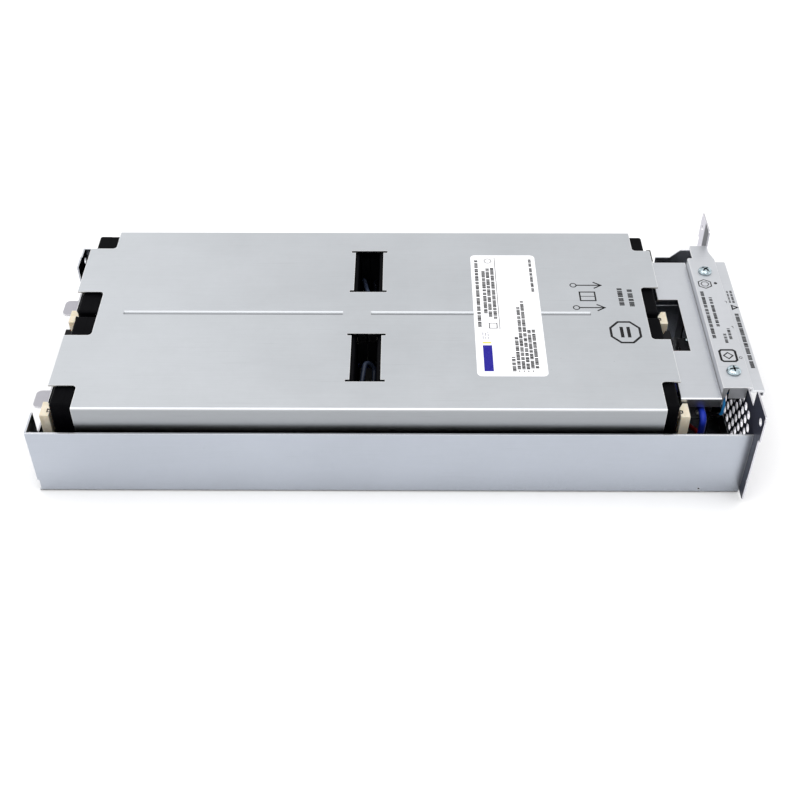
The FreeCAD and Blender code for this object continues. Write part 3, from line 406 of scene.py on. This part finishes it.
# ---------------------------------------------------------------- printed marks
class Print:
    """Marks printed on one flat face: closed slips of ink 0.03 mm thick, half sunk into the face."""

    HALF_THICK = 0.015

    def __init__(self, name, body, slot, material, top):
        self.name, self.body, self.slot, self.material = name, body, slot, material
        self.mesh = bmesh.new()
        self.low, self.high = top - self.HALF_THICK, top + self.HALF_THICK

    def corner(self, x, y, level):
        return self.mesh.verts.new((x * MM, y * MM, level * MM))

    def outline(self, points):
        """A filled shape from its corners, in mm, seen from above."""
        lower = [self.corner(x, y, self.low) for x, y in points]
        upper = [self.corner(x, y, self.high) for x, y in points]
        count = len(points)
        self.mesh.faces.new(upper)
        self.mesh.faces.new(lower[::-1])
        for i in range(count):
            j = (i + 1) % count
            self.mesh.faces.new((lower[i], lower[j], upper[j], upper[i]))

    def bar(self, x0, x1, y0, y1):
        self.outline([(x0, y0), (x1, y0), (x1, y1), (x0, y1)])

    def stroke(self, points, wide, closed=False):
        """A line of ink through some points, with mitred corners."""
        spots = [Vector(point) for point in points]
        count = len(spots)
        left, right = [], []
        for i, spot in enumerate(spots):
            before = spots[i - 1] if closed or i else None
            after = spots[(i + 1) % count] if closed or i < count - 1 else None
            first = (spot - before).normalized() if before is not None else (after - spot).normalized()
            second = (after - spot).normalized() if after is not None else first
            side = Vector((-(first + second).y, (first + second).x)).normalized()
            reach = wide / 2 / max(0.3, side.dot(Vector((-first.y, first.x))))
            left.append(spot + side * reach)
            right.append(spot - side * reach)
        sides = ((right, self.low), (left, self.low), (left, self.high), (right, self.high))
        rings = [[self.corner(p.x, p.y, level) for p in side] for side, level in sides]
        for i in range(count if closed else count - 1):
            j = (i + 1) % count
            for a, b in ((0, 1), (1, 2), (2, 3), (3, 0)):
                self.mesh.faces.new((rings[a][i], rings[a][j], rings[b][j], rings[b][i]))
        if not closed:
            self.mesh.faces.new([rings[k][0] for k in (0, 1, 2, 3)])
            self.mesh.faces.new([rings[k][-1] for k in (3, 2, 1, 0)])

    def words(self, x, y0, y1, wide, seed, longest=9.0):
        """A row of short ticks along Y, in groups, that stands for a line of small print."""
        tick_gap, group_gap = 0.26, 0.9
        dice = random.Random(seed)
        y = y0
        while y < y1 - group_gap:
            end = min(y1, y + dice.uniform(2.2, longest))
            while y < end - 0.4:
                tick = min(end - y, dice.uniform(0.7, 1.5))
                self.bar(x - wide / 2, x + wide / 2, y, y + tick)
                y += tick + tick_gap
            y = end + group_gap

    def ring(self, x, y, radius, wide, sides=32, turn=0.0):
        """A closed line round a regular polygon, or nearly a circle with many sides."""
        step = 2 * math.pi / sides
        self.stroke([(x + radius * math.cos(turn + i * step), y + radius * math.sin(turn + i * step))
                     for i in range(sides)], wide, closed=True)

    def done(self):
        mesh = bpy.data.meshes.new(self.name)
        bmesh.ops.recalc_face_normals(self.mesh, faces=self.mesh.faces[:])
        self.mesh.to_mesh(mesh)
        self.mesh.free()
        piece = bpy.data.objects.new(self.name, mesh)
        scene.collection.objects.link(piece)
        mesh.materials.append(self.material)
        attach(piece, self.body)


def corners(node):
    """A CAD node's lowest and highest corner, in mm."""
    return tuple([value / MM for value in corner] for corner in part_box(node))


def print_label():
    """The label: generic rows of ticks, a blue block, a yellow bar and two plain signs."""
    (x, y, _), (_, _, top) = corners("lid_label")
    black = Print("label_print", "lid_body", "label_film", BLACK_INK, top)
    upper_rows = ((3.9, 52, 130), (8.8, 67, 117), (12.0, 63, 120), (15.4, 61, 121))
    for i, (along, start, end) in enumerate(upper_rows):
        black.words(x + along, y + start, y + end, 2.5, 40 + i)
    black.bar(x + 17.7, x + 18.1, y + 49, y + 133)
    black.ring(x + 12.8, y + 129, 2.6, 0.5)
    sign_low, sign_high = (x + 10.6, y + 50.5), (x + 16.0, y + 56)
    black.stroke([sign_low, (sign_high[0], sign_low[1]), sign_high, (sign_low[0], sign_high[1])], 0.6, True)
    black.words(x + 25.5, y + 5, y + 20, 2.5, 50)
    lower_rows = ((28.8, 41), (31.9, 74), (35.0, 81), (38.1, 50), (41.2, 49))
    for i, (along, end) in enumerate(lower_rows):
        black.words(x + along, y + (7 if i < 3 else 8), y + end, 2.4, 51 + i)
        if i < 4:
            black.bar(x + along - 0.4, x + along + 0.4, y + 4.6, y + 5.8)
    black.words(x + 44.2, y + 92, y + 131, 2.1, 60)
    black.done()
    blue = Print("label_print_block", "lid_body", "label_film", BLUE_INK, top)
    blue.bar(x + 5.0, x + 11.4, y + 5, y + 32)
    blue.done()
    yellow = Print("label_print_bar", "lid_body", "label_film", YELLOW_INK, top)
    yellow.bar(x + 5.0, x + 11.0, y + 34, y + 35.4)
    yellow.done()
    grey = Print("label_print_fine", "lid_body", "label_film", GREY_INK, top)
    for i, along in enumerate((5.6, 7.4, 9.2)):
        grey.words(x + along, y + 39, y + 47, 0.7, 70 + i, 3.0)
    grey.done()


def print_lid():
    """On the lid itself: a plain handling mark, two rows of ticks and an octagon with two bars."""
    _, (front, _, top) = corners("lid")
    black = Print("lid_print", "lid_body", "lid_sheet", BLACK_INK, top)
    # the handling mark: an arrow with a round tail on either side of a box
    tail, tip, line = front - 59.85, front - 41.65, 1.1
    for y in (8.5, 34.5):
        black.stroke([(tail, y), (tip - 0.6, y)], line)
        black.stroke([(tip - 5.6, y - 3.6), (tip, y), (tip - 5.6, y + 3.6)], line)
        black.ring(tail - 2.2, y, 2.2, 0.8, 20)
    box_x, box_y, half_x, half_y = front - 52.75, 21.5, 5.5, 5.0
    black.stroke([(box_x - half_x, box_y - half_y), (box_x + half_x, box_y - half_y),
                  (box_x + half_x, box_y + half_y), (box_x - half_x, box_y + half_y)], line, True)
    black.stroke([(box_x - 5.1, box_y), (box_x + 5.1, box_y)], 0.6)
    black.words(front - 28.85, 11, 31, 3.6, 80, 8)
    black.words(front - 21.65, 10, 30, 3.6, 81, 8)
    # the octagon
    middle_x, middle_y = front - 30.35, -18.8
    reach_x, reach_y = 10.2 / 0.924, 11.2 / 0.924
    turns = [math.radians(22.5 + 45 * i) for i in range(8)]
    octagon = [(middle_x + reach_x * math.cos(turn), middle_y + reach_y * math.sin(turn)) for turn in turns]
    black.stroke(octagon, 1.7, True)
    for x in (middle_x - 3.7, middle_x + 1.1):
        black.bar(x, x + 2.4, middle_y - 5.7, middle_y + 5.8)
    black.done()


def print_bracket():
    """On the bracket's top and front lip: plain signs and rows of ticks."""
    (rear, _, _), (front, _, top) = corners("front_bracket")
    lip_drop = 3.0
    black = Print("bracket_print", "bracket_body", "zinc_sheet", BLACK_INK, top)
    black.ring(rear + 7.6, 40.9, 5.2, 0.8, 6, math.radians(30))
    black.ring(rear + 7.6, 40.9, 2.9, 0.6, 6)
    black.ring(rear + 15.6, 41.8, 0.7, 1.1, 10)
    black.words(rear + 3.6, -21, 32, 2.5, 90)
    black.words(rear + 8.6, -8, 20, 2.3, 91)
    black.words(rear + 8.6, 21, 25, 2.3, 92, 2.0)
    black.words(rear + 11.4, -26, -14, 2.1, 93, 4.0)
    black.words(rear + 15.0, -22, -10, 2.1, 94, 4.0)
    black.stroke([(rear + 18.4, 20.5), (rear + 19.6, 20.5), (rear + 19.6, 18.4)], 0.4)
    black.stroke([(rear + 17.6, -8.0), (rear + 18.8, -8.0), (rear + 18.8, -10.0)], 0.4)
    # a box with cut corners and a plain diamond in it
    x, y, half_x, half_y, cut = rear + 9.6, -39.5, 5.4, 6.0, 1.4
    quarter = [(half_x, half_y - cut), (half_x - cut, half_y)]
    box = [(x - u, y - v) for u, v in quarter]
    box += [(x + u, y - v) for u, v in quarter[::-1]]
    box += [(x + u, y + v) for u, v in quarter]
    box += [(x - u, y + v) for u, v in quarter[::-1]]
    black.stroke(box, 1.6, True)
    black.ring(x, y, 3.2, 0.9, 4)
    black.ring(rear + 17.8, -41.6, 1.0, 0.4, 16)
    black.done()
    lip = Print("bracket_lip_print", "bracket_body", "zinc_sheet", BLACK_INK, top - lip_drop)
    lip.words(front - 3.6, -49, 10, 2.8, 95)
    lip.ring(front - 4.0, 17.2, 2.6, 1.1, 3)
    lip.words(front - 5.6, 22.5, 38, 1.2, 96, 4.0)
    lip.words(front - 3.0, 22.5, 38, 1.7, 97, 4.0)
    lip.done()


def housing_mouth_shade():
    """On the cream terminal housings: painted shade as a dark slip over the mouth beside the block, and the
    tab's end within it.
    """
    low, high = corners("cream_housings")
    mouth_shade = Print("housing_mouth_shade", "module", "dark_nylon", LOOKS["dark_nylon"], high[2])
    tips = Print("housing_tab_tips", "module", "tinned_metal", LOOKS["tinned_metal"], high[2] + 0.02)
    housing_long, edge_to_middle = 6.2, 6.7
    for inner, way in ((low[0] + housing_long, -1), (high[0] - housing_long, 1)):
        for y in (low[1] + edge_to_middle, high[1] - edge_to_middle):
            # the dark slip is painted shade where the mouth opens
            first, last = sorted((inner + 0.1 * way, inner + 2.0 * way))
            mouth_shade.outline([(first, y - 3.6), (last, y - 3.0), (last, y - 0.4), (first, y + 0.2)])
            first, last = sorted((inner + 0.3 * way, inner + 1.2 * way))
            tips.bar(first, last, y - 2.6, y - 1.2)
    mouth_shade.done()
    tips.done()


print_label()
print_lid()
print_bracket()
housing_mouth_shade()


# ---------------------------------------------------------------- stage
def make_floor():
    half = 6
    mesh = bpy.data.meshes.new("floor")
    spots = [(-half, -half, 0), (half, -half, 0), (half, half, 0), (-half, half, 0)]
    mesh.from_pydata(spots, [], [(0, 1, 2, 3)])
    floor = bpy.data.objects.new("floor", mesh)
    scene.collection.objects.link(floor)
    m = Nodes("floor_paper")
    mesh.materials.append(m.finish(m.mix(m.noise(3, 3, 0.5), (0.93, 0.93, 0.935), (0.96, 0.96, 0.96)), 0.9))


def make_lights():
    """A white studio: an even sky and three soft lamps aimed at the module."""
    world = bpy.data.worlds.new("studio")
    scene.world = world
    world.use_nodes = True
    sky = world.node_tree.nodes["Background"].inputs
    sky["Color"].default_value = (1, 1, 1, 1)
    sky["Strength"].default_value = 0.93
    for name, spot, size, power in (
        ("overhead", Vector((0.0, -0.3, 2.4)), 2.4, 26),
        ("key", Vector((-1.1, -0.9, 1.5)), 1.4, 3),
        ("back", Vector((-1.1, 1.5, 1.3)), 1.4, 1.6),
    ):
        lamp = bpy.data.lights.new(name, "AREA")
        lamp.size = size
        lamp.energy = power
        holder = bpy.data.objects.new(name, lamp)
        scene.collection.objects.link(holder)
        holder.location = spot
        holder.rotation_mode = "QUATERNION"
        holder.rotation_quaternion = (-spot).to_track_quat("-Z", "Y")
    scene.view_settings.view_transform = "Standard"
    scene.view_settings.look = "None"


make_floor()
make_lights()
